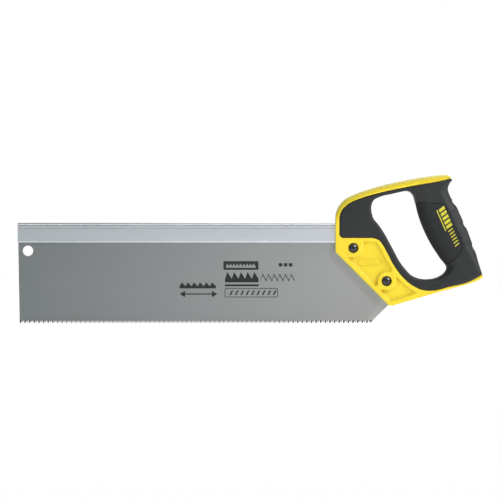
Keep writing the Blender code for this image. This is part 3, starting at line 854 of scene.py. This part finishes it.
def half_section():
    """Right half of the folded sheet's section, from the slot's mouth up to the crown."""
    slot = blade_high.y + FOLD_GAP
    top, bottom = spine_high.z, spine_low.z
    shoulder = bottom + LIP_DEPTH
    flank = (FLANK_HALF, shoulder + LIP_SLOPE, 0.15)
    lip = [(slot, bottom), (LIP_HALF, bottom, 0.5), (LIP_HALF, shoulder, 0.15), flank]
    low = top - BEAD_DEPTH
    waist = [(FLANK_HALF - 0.05, low, 0.15), (BEAD_HALF, low + 0.1, 0.3), (BEAD_HALF, top)]
    crown = [(BEAD_HALF * y, top - CROWN_FALL * (1 - z)) for y, z in arc((0.0, 0.0), 1.0, 0, 90, 14)]
    side = rounded_path(lip + [(FLANK_HALF, top)]) + rounded_path([(FLANK_HALF, bottom)] + waist)
    return [(slot, bottom)] + side + crown


def make_spine(material):
    """The folded sheet, swept along the blade from the toe into the handle."""
    right = half_section()
    left = [(-y, z) for y, z in right[:-1]][::-1]
    slot = blade_high.y + FOLD_GAP
    roof = blade_high.z + ROOF_GAP
    section = right + left + [(-slot, roof), (slot, roof)]
    flat, faces = triangulate([section], np.empty((0, 2)))
    stations = [(spine_low.x, grown(section, -TOE_SHRINK))]
    stations += [(x, section) for x in (spine_low.x + TOE_CHAMFER, spine_high.x)]
    verts = [(x, y, z) for x, outline in stations for y, z in outline]
    all_faces = []
    count = len(section)
    for k in range(len(stations) - 1):
        for i in range(count):
            j = (i + 1) % count
            base = k * count
            all_faces.append((base + i, base + count + i, base + count + j, base + j))
    order = {}
    for n, point in enumerate(flat):
        gaps = [math.dist(point, s) for s in section]
        order[n] = gaps.index(min(gaps))
    last = (len(stations) - 1) * count
    for a, b, c in faces:
        a, b, c = order[a], order[b], order[c]
        all_faces.append((c, b, a))
        all_faces.append((last + a, last + b, last + c))
    obj = make_object("folded_back", verts, all_faces, material, smooth_angle=35)
    shape = bmesh.new()
    shape.from_mesh(obj.data)
    bmesh.ops.recalc_face_normals(shape, faces=shape.faces)
    shape.to_mesh(obj.data)
    shape.free()
    flatten_flats(obj, 40)
    return obj


# Handle fields

front_edge = straight(on_handle(FRONT_EDGE))
top_edge = smooth_path(on_handle(TOP_EDGE))
bottom_edge = smooth_path(on_handle(BOTTOM_EDGE))
seam_top = smooth_path(on_handle(SEAM_TOP))
seam_bottom = smooth_path(on_handle(SEAM_BOTTOM))
seam_corner_at, = on_handle([SEAM_CORNER[0]])
seam_corner = fillet(seam_top[-1], seam_corner_at, seam_bottom[0], SEAM_CORNER[1], 8)
seam_line = seam_top[:-1] + straight([seam_top[-1], seam_corner[0]]) + seam_corner[1:-1]
seam_line += straight([seam_corner[-1], seam_bottom[0]]) + seam_bottom[1:]
palm_line = smooth_path(on_handle(PALM_UPPER), 0.8)
ridge_starts = []
for ridge in PALM_RIDGES:
    ridge_starts.append(on_handle(ridge)[0])
    palm_line += smooth_path(on_handle(ridge), 0.8)
hole_loop = smooth_path(on_handle(HAND_HOLE), 0.9, closed=True)
groove_line = smooth_path(on_handle(GROOVE), 0.8)
panel_edge = groove_line[2:-2]
crease_line = smooth_path(on_handle(CREASE), 1.0)
yellow_edge = bottom_edge[:-1] + straight([bottom_edge[-1], front_edge[0]]) + front_edge[1:] + top_edge


def across_grip(points):
    """A measure that grows from the blade to the palm, level along the hand grip."""
    return points[:, 0] + GRIP_LEAN * points[:, 1]


def above_foot(points):
    """Height above a line that slopes like the grip's foot."""
    return points[:, 1] - FOOT_SLOPE * (points[:, 0] - FOOT_START)


def grip_masks(points):
    """Where the rubber is rounded for the fingers and where for the palm, from 0 to 1."""
    across, z, above = across_grip(points), points[:, 1], above_foot(points)
    finger = ramp(across, *FINGER_ACROSS) * ramp(z, *FINGER_TOP) * ramp(above, *FINGER_FOOT)
    palm = ramp(across, *PALM_ACROSS) * ramp(z, *PALM_TOP) * ramp(above, *PALM_FOOT)
    return finger, palm


def ridges(points):
    """Low overlapping ridges across the palm side, fading out towards the middle."""
    fade = ramp(distance(points, palm_line), 7.0, 1.0)
    rise = np.zeros(len(points))
    for start in ridge_starts:
        along = (points[:, 0] - start[0]) * GRIP_DOWN.x + (points[:, 1] - start[1]) * GRIP_DOWN.y
        rise += RIDGE_RISE * ramp(along, -0.3, 0.9) * ramp(along, RIDGE_RUN, 1.0) * fade
    return rise


def grip_height(points):
    """Half thickness of the rubber before its panels and grooves are cut."""
    finger, palm = grip_masks(points)
    half = PANEL_HALF + GRIP_SWELL * ramp(across_grip(points), *SWELL_ACROSS) - RUBBER_INSET
    half = half - drop(distance(points, hole_loop, closed=True), HOLE_ROUND, FINGER_ROUND, finger)
    half = half - drop(distance(points, palm_line), BACK_ROUND, PALM_ROUND, palm)
    return half + ridges(points)


def rubber_height(points):
    seam = drop(distance(points, seam_line), RUBBER_SEAM_ROUND)
    return grip_height(points) - seam - drop(distance(points, groove_line), RUBBER_GROOVE_ROUND)


def panel_height(points):
    depth, width = FINGER_CREASE
    crease = depth * np.exp(-(distance(points, crease_line) / width) ** 2)
    groove = drop(distance(points, groove_line), PANEL_GROOVE_ROUND)
    return grip_height(points) - PANEL_SUNK - groove - crease


def offsets_inward(loop, distances, side=-1):
    """Rings of points beside a loop, at the given distances from it."""
    rings = [grown(loop, side * gap) for gap in distances]
    return [p for ring in rings for p in ring]


def edge_rings(reach, steps=7):
    """Distances that follow a rounded edge at equal turns."""
    return [reach * (1 - math.cos(math.pi / 2 * i / steps)) for i in range(1, steps + 1)]


def split_hole():
    """The hand hole's outline cut where the panel's groove meets it."""
    loop = hole_loop if area(hole_loop) > 0 else hole_loop[::-1]
    array = np.array(loop)
    top = int(np.argmin(np.linalg.norm(array - groove_line[0], axis=1)))
    bottom = int(np.argmin(np.linalg.norm(array - groove_line[-1], axis=1)))
    turned = loop[bottom:] + loop[:bottom]
    cut = (top - bottom) % len(loop)
    return turned[: cut + 1], turned[cut:] + [turned[0]]


def make_grip(material):
    """Rubber round the hand hole, over the front panel and down the ridged palm side."""
    _, rest = split_hole()
    outer = seam_line + palm_line[::-1]
    opening = rest + panel_edge[::-1]
    rings = offsets_inward(outer, edge_rings(1.5, 4) + edge_rings(10.0, 8))
    hole_rows = edge_rings(0.6, 3) + edge_rings(2.6, 4) + edge_rings(11.0, 8)
    rings += offsets_inward(opening, hole_rows, 1)
    fill = honeycomb(grip_low.xz, grip_high.xz, 1.5)
    points = np.concatenate([np.array(rings), fill])
    return relief("rubber_grip", [outer, opening], points, rubber_height, material)


def make_panel(material):
    """The textured panel on the finger side of the grip."""
    finger_side, _ = split_hole()
    loop = panel_edge + finger_side
    rings = offsets_inward(loop, edge_rings(0.7, 3) + edge_rings(11.6, 10))
    for gap in CREASE_ROWS:
        rings += [(x + gap * 0.93, z + gap * 0.37) for x, z in crease_line]
    fill = honeycomb(grip_low.xz, grip_high.xz, 1.3)
    points = np.concatenate([np.array(rings), fill])
    return relief("grip_panel", [loop], points, panel_height, material)


# Yellow core

def pocket_loops():
    """The two recesses of a cheek, bounded by the bosses and the rim."""
    toe, curve = (39.9, 18.9), POCKET_REAR[2:5]
    left, low, top = 10.3, BOSS_FRONT[1] - BOSS_RADIUS, 64.6
    wall = BOSS_FRONT[0] + BOSS_RADIUS
    corners = [(left, low, 1.0), (wall, low, BOSS_RADIUS), (wall, top, 1.5), (40.9, top, 4.5)]
    upper = rounded_path([toe] + corners + [curve[0]])
    upper += smooth_path(curve)
    upper += arc(BOSS_REAR, BOSS_RADIUS, 66, 203, 20)
    upper.append(toe)
    lower = [(44.0, 14.8), (46.7, 16.9)]
    lower += arc(BOSS_REAR, BOSS_RADIUS, -116, 20, 20)[1:]
    lower += smooth_path([(60.9, 30.1)] + POCKET_REAR[5:])
    lower += [(73.1, 9.4), (54.3, 3.7)]
    return [straight(on_handle(loop), 0.7, closed=True) for loop in (upper, lower)]


def tooth_motif(low, high, base, height, count):
    """A bar with a row of saw teeth on its top, between two x values."""
    pitch = (high - low) / count
    loop = [(low, base), (high, base)]
    for i in range(count):
        right = high - i * pitch
        loop.append((right, base + height * 0.35))
        loop.append((right - pitch * 0.65, base + height))
    loop.append((low, base + height * 0.35))
    return loop


def pocket_depth(points, loop):
    """How deep a recess is at each point. Its floor rises towards the rubber."""
    share = np.zeros(len(points))
    for shift in POCKET_SHIFTS:
        share += ramp(depth_in(points + shift, loop), -POCKET_LEAD, POCKET_RUN) / len(POCKET_SHIFTS)
    rise = SCOOP_RISE * np.clip(1 - distance(points, pocket_rear) / SCOOP_REACH, 0, 1) ** 2
    return (POCKET_DEPTH - rise) * share


def core_height(points):
    """Half thickness of the yellow core, with its recesses, bosses, sinks and badge."""
    x, z = points[:, 0], points[:, 1]
    shoulder = ramp(z, *SHOULDER_BOTTOM) * ramp(x, *SHOULDER_END)
    edge = distance(points, yellow_edge)
    slant = np.clip(1 - edge / SHOULDER_REACH, 0, 1) ** 1.2
    half = CORE_HALF - drop(edge, CORE_ROUND, SHOULDER_ROUND, shoulder)
    half -= SHOULDER_FALL * shoulder * slant
    half -= drop(distance(points, seam_line), CORE_SEAM_ROUND)
    for loop in pockets:
        low, high = np.min(loop, axis=0) - POCKET_MARGIN, np.max(loop, axis=0) + POCKET_MARGIN
        near = np.all((points > low) & (points < high), axis=1)
        half[near] -= pocket_depth(points[near], loop)
    badge = depth_in(points, badge_loop)
    half += BADGE_RAISED * ramp(badge, -0.3, 0.4) - BADGE_PLATE_SUNK * ramp(badge, 0.8, 1.2)
    half += BADGE_TEETH_RAISED * ramp(depth_in(points, badge_teeth), -0.08, 0.2)
    for centre in bosses:
        gap = SINK_RADIUS - np.hypot(x - centre[0], z - centre[1])
        half -= SINK_DEPTH * ramp(gap, -0.15, 0.35)
        half -= drop(np.where(gap < 0, -gap, np.inf), SINK_ROUND)
    return half


def make_core(material):
    """The hard yellow moulding that shows round the rubber."""
    loop = yellow_edge + seam_line
    rings = offsets_inward(loop, edge_rings(0.7, 3) + edge_rings(0.9, 3) + edge_rings(4.9, 8))
    for pocket in pockets:
        rings += offsets_inward(pocket, POCKET_ROWS)
    rings += offsets_inward(straight(badge_loop, 0.5, closed=True), BADGE_ROWS)
    for centre in bosses:
        for gap in SINK_ROWS:
            rings += circle(centre, SINK_RADIUS - gap, 72)
    half_badge = Vector(BADGE_SIZE) / 2
    fine = honeycomb(Vector(badge_at) - half_badge, Vector(badge_at) + half_badge, 0.3)
    fill = honeycomb(core_low.xz, core_high.xz, 1.6)
    points = np.concatenate([np.array(rings), fine, fill])
    core = relief("yellow_core", [loop], points, core_height, material, exact=False)
    slot = blade_high.y + 0.12
    ahead, below = core_low.x - 25.25, -1.0
    slot_loop = on_handle(TANG_SLOT) + [(ahead, 99.0), (ahead, below), (118.7, below)]
    subtract(core, prism("blade_slot", [slot_loop], -slot, slot, material))
    wide = BEAD_HALF + BACK_GAP
    low, high = spine_low.z - BACK_GAP, spine_high.z + BACK_GAP
    mouth = [(ahead, low), (spine_high.x, low), (spine_high.x, high), (ahead, high)]
    subtract(core, prism("back_slot", [mouth], -wide, wide, material))
    core.data.set_sharp_from_angle(angle=math.radians(38))
    shade_relief(core, core_height)
    return core


bosses = on_handle([BOSS_FRONT, BOSS_REAR])
badge_at, = on_handle([BADGE_CENTRE])
badge_loop = round_box(badge_at, BADGE_SIZE[0], BADGE_SIZE[1], 3.45)
badge_teeth = tooth_motif(badge_at[0] - 7.5, badge_at[0] + 7.5, badge_at[1] - 1.4, 2.8, 7)
pockets = pocket_loops()
pocket_rear = smooth_path(on_handle(POCKET_REAR))


# Fasteners

# Recess bars: length, width, depth and tilt in degrees
CROSS_RECESS = [(5.6, 1.3, 1.2, 22), (5.6, 1.3, 1.2, 112)]
SLOT_RECESS = [(9.0, 1.4, 1.1, 35)]


def make_fastener(name, node, side, recess, material):
    """A domed head and its shank, turned about the CAD fastener's own axis."""
    low, high = box_mm(node)
    radius = SINK_RADIUS - HEAD_GAP
    centre = ((low.x + high.x) / 2, (low.z + high.z) / 2)
    crown = high.y if side > 0 else -low.y
    tip = low.y if side > 0 else -high.y
    seat = crown - HEAD_THICK
    edge = crown - DOME
    shares = [i / 12 for i in range(13)]
    profile = [(radius * 0.93 * share, crown - DOME * share * share) for share in shares]
    profile += [(radius * 0.98, edge - 0.12), (radius, edge - 0.35), (radius, seat)]
    profile += [(SHANK_RADIUS, seat), (SHANK_RADIUS, tip), (0.0, tip)]
    data = bpy.data.meshes.new(name)
    verts = [(r * MM, 0.0, h * MM) for r, h in profile]
    data.from_pydata(verts, [(i, i + 1) for i in range(len(verts) - 1)], [])
    obj = bpy.data.objects.new(name, data)
    bpy.context.scene.collection.objects.link(obj)
    turned = {"steps": 64, "render_steps": 64, "use_merge_vertices": True, "merge_threshold": 0.00001}
    apply_modifier(obj, "SCREW", **turned)
    for length, width, depth, tilt in recess:
        subtract(obj, recess_tool(length, width, depth, tilt, crown))
    turn = Matrix.Rotation(-side * math.pi / 2, 4, "X")
    obj.data.transform(Matrix.Translation((centre[0] * MM, 0, centre[1] * MM)) @ turn)
    flatten_flats(obj, 32)
    obj.data.materials.clear()
    obj.data.materials.append(material)
    return obj


def recess_tool(length, width, depth, tilt, crown):
    """A bar that narrows downwards, centred on a head's crown and tilted about its axis."""
    shape = bmesh.new()
    bmesh.ops.create_cube(shape, size=1.0)
    bmesh.ops.scale(shape, vec=(length * MM, width * MM, 2 * depth * MM), verts=shape.verts)
    for vert in shape.verts:
        if vert.co.z < 0:
            vert.co.x *= 0.62
            vert.co.y *= 0.75
    turn = Matrix.Rotation(math.radians(tilt), 3, "Z")
    bmesh.ops.rotate(shape, cent=(0, 0, 0), matrix=turn, verts=shape.verts)
    bmesh.ops.translate(shape, vec=(0, 0, crown * MM), verts=shape.verts)
    data = bpy.data.meshes.new("recess")
    shape.to_mesh(data)
    shape.free()
    tool = bpy.data.objects.new("recess", data)
    bpy.context.scene.collection.objects.link(tool)
    return tool


# Printed and moulded marks

def zigzag(low, high, base, top, count, stroke):
    """A line of saw teeth with the given stroke."""
    pitch = (high - low) / count
    lower = [(low, base)]
    for i in range(count):
        left = low + i * pitch
        lower.append((left + pitch * 0.35, top - stroke * 1.4))
        lower.append((left + pitch, base))
    upper = [(x, z + stroke * 1.4) for x, z in lower]
    return lower + upper[::-1]


def blade_marks():
    """Plain marks printed on the blade: bars, a tooth row and a dimension line."""
    marks = {}
    block = round_box((-9.1, 57.5), 35.0, 8.6, 1.2)
    window = tooth_motif(-24.0, 5.6, 55.2, 4.4, 9)
    marks["ink_block"] = [block, window]
    marks["ink_saw"] = [tooth_motif(-25.0, 8.6, 40.6, 10.4, 5)]
    marks["ink_zigzag"] = [zigzag(10.6, 44.6, 41.2, 49.6, 6, 1.3)]
    marks["ink_rule"] = [round_box((-8.2, 37.7), 34.0, 1.9, 0.4)]
    frame_out = round_box((1.2, 30.3), 53.0, 9.2, 1.5)
    frame_in = round_box((1.2, 30.3), 51.7, 7.9, 1.1)
    marks["ink_frame"] = [frame_out, frame_in]
    for i in range(9):
        x = -20.5 + i * 5.4
        marks[f"ink_slash_{i}"] = [[(x, 28.0), (x + 1.6, 28.0), (x + 3.8, 32.6), (x + 2.2, 32.6)]]
    for i in range(3):
        marks[f"ink_dash_{i}"] = [round_box((30.6 + i * 5.0, 58.2), 3.6, 3.4, 0.5)]
    marks["ink_pitch"] = [tooth_motif(-70.4, -34.0, 34.6, 6.2, 6)]
    centre, level, reach, neck, barb, shaft = -51.5, 29.0, 18.9, 13.4, 3.2, 0.6
    lower = [(-reach, 0.0), (-neck, -barb), (-neck, -shaft), (neck, -shaft), (neck, -barb)]
    arrow = lower + [(-x, -z) for x, z in lower]
    marks["ink_span"] = [[(centre + x, level + z) for x, z in arrow]]
    return marks


def grip_marks():
    """A stripe and a row of slanted bars along the grip's panel."""
    start = Vector(on_handle([(101.6, 95.6)])[0])

    def bar(low, high, near, far, lean):
        corners = [(low, near), (high, near), (high + lean, far), (low + lean, far)]
        return [tuple(start + GRIP_DOWN * a + GRIP_ACROSS * b) for a, b in corners]

    marks = {"grip_stripe": bar(0.0, 22.4, -1.4, -0.4, 0.0)}
    for i in range(5):
        low = 0.3 + i * 4.5
        marks[f"grip_bar_{i}"] = bar(low, low + 3.0, 1.0, 7.6, -1.6)
    for i in range(6):
        low = 23.6 + i * 3.2
        marks[f"grip_line_{i}"] = bar(low, low + 1.1, 1.4, 6.6, -1.3)
    return marks


def make_grip_mark(name, loop, side, material):
    """A thin sheet that follows the panel's front (side -1) or its back (side 1)."""
    def sheet(rise):
        return lambda p: side * (panel_height(p) + rise)

    faces = [sheet(MARK_PROUD), sheet(-MARK_SUNK)][::-side]
    fill = honeycomb(np.min(loop, axis=0), np.max(loop, axis=0), 0.8)
    return solid_sheet(name, [straight(loop, 0.8, closed=True)], fill, *faces, material)


# Studio

def area_light(name, location, target, size, power):
    data = bpy.data.lights.new(name, "AREA")
    data.shape = "RECTANGLE"
    data.size, data.size_y = size
    data.energy = power
    obj = bpy.data.objects.new(name, data)
    obj.location = location
    aim = Vector(target) - Vector(location)
    obj.rotation_euler = aim.to_track_quat("-Z", "Y").to_euler()
    bpy.context.scene.collection.objects.link(obj)


def make_world():
    """Soft light that grows towards the zenith. The camera itself sees plain white."""
    world = bpy.data.worlds.new("studio")
    world.use_nodes = True
    tree = world.node_tree
    made = {kind: tree.nodes.new("ShaderNode" + kind) for kind in STUDIO_NODES}
    made["MapRange"].inputs["To Min"].default_value = HORIZON_LIGHT
    made["MapRange"].inputs["To Max"].default_value = ZENITH_LIGHT
    made["Mix"].inputs["B"].default_value = 1.0
    made["Background"] = tree.nodes["Background"]
    made["Background"].inputs["Color"].default_value = (1, 1, 1, 1)
    for source, output, target, socket in (
        ("TexCoord", "Generated", "SeparateXYZ", "Vector"),
        ("SeparateXYZ", "Z", "MapRange", "Value"),
        ("MapRange", "Result", "Mix", "A"),
        ("LightPath", "Is Camera Ray", "Mix", "Factor"),
        ("Mix", "Result", "Background", "Strength"),
    ):
        tree.links.new(made[source].outputs[output], made[target].inputs[socket])
    bpy.context.scene.world = world


STUDIO_NODES = ("TexCoord", "SeparateXYZ", "MapRange", "LightPath", "Mix")
HORIZON_LIGHT = 0.22
ZENITH_LIGHT = 0.36
FLOOR_GLOW = 0.45
FLOOR_WHITE = 1.03
FLOOR_SHADOW = (0.25, 0.5)  # share of paint that takes shadows, seen level and from above
SHADOW_VIEW = (0.05, 0.45)  # how far up the two views look from
FRAME_WIDTH = 0.5  # metres across the picture at the blade
CAMERA_LENS = 250.0
CAMERA_HEIGHT = 0.073
MIDDLE, HANDLE_SIDE = (0, 0, 0.07), (0.1, 0, 0.07)
LIGHTS = {  # place, target, size in metres, power in watts
    "key": ((0.75, -1.0, 0.75), HANDLE_SIDE, (0.45, 0.45), 10.8),
    "fill": ((-1.1, -1.5, 1.2), MIDDLE, (1.2, 1.2), 1.2),
    "side": ((1.5, -0.35, 0.5), HANDLE_SIDE, (0.8, 0.8), 5.4),
    "strip": ((0.1, -0.8, 1.05), (0.05, 0, 0.09), (1.4, 0.2), 1.8),
    "back": ((0.5, 1.6, 1.2), MIDDLE, (1.2, 1.2), 15.0),
}


def make_studio():
    bpy.ops.mesh.primitive_plane_add(size=12.0, location=(0, 0, cad_bounds[0].z))
    floor = bpy.context.object
    floor.name = "floor"
    floor.data.materials.append(floor_material())
    make_world()
    for name, settings in LIGHTS.items():
        area_light(name, *settings)
    camera_data = bpy.data.cameras.new("camera")
    camera_data.lens = CAMERA_LENS
    away = FRAME_WIDTH * camera_data.lens / camera_data.sensor_width
    camera = bpy.data.objects.new("camera", camera_data)
    camera.location = (0.0, -away, cad_bounds[0].z + CAMERA_HEIGHT)
    camera.rotation_euler = (math.pi / 2, 0, 0)
    bpy.context.scene.collection.objects.link(camera)
    bpy.context.scene.camera = camera
    bpy.context.scene.view_settings.view_transform = "Standard"


rubber_marks, black, ink = grip_yellow(), black_steel(), ink_material()

for make, look, node in (
    (make_blade, blade_steel, "blade"),
    (make_spine, back_steel, "spine"),
    (make_core, yellow_plastic, "handle_core"),
    (make_grip, grip_rubber, "grip_overmould"),
    (make_panel, panel_rubber, "grip_insert"),
):
    keep_piece(make(look()), node, True)

for where in ("front", "rear"):
    head = make_fastener(where + "_screw_head", where + "_screw", -1, CROSS_RECESS, black)
    keep_piece(head, where + "_screw", True)
    nut = make_fastener(where + "_nut_head", where + "_nut", 1, SLOT_RECESS, black)
    keep_piece(nut, where + "_nut", True)

face = -blade_high.y
for name, loops in blade_marks().items():
    keep_piece(prism(name, loops, face - INK, face + INK, ink), "blade")

for name, loop in grip_marks().items():
    for end, side in (("_front", -1), ("_back", 1)):
        mark = make_grip_mark(name + end, loop, side, rubber_marks)
        keep_piece(mark, "grip_insert")

make_studio()

bpy.context.view_layer.update()
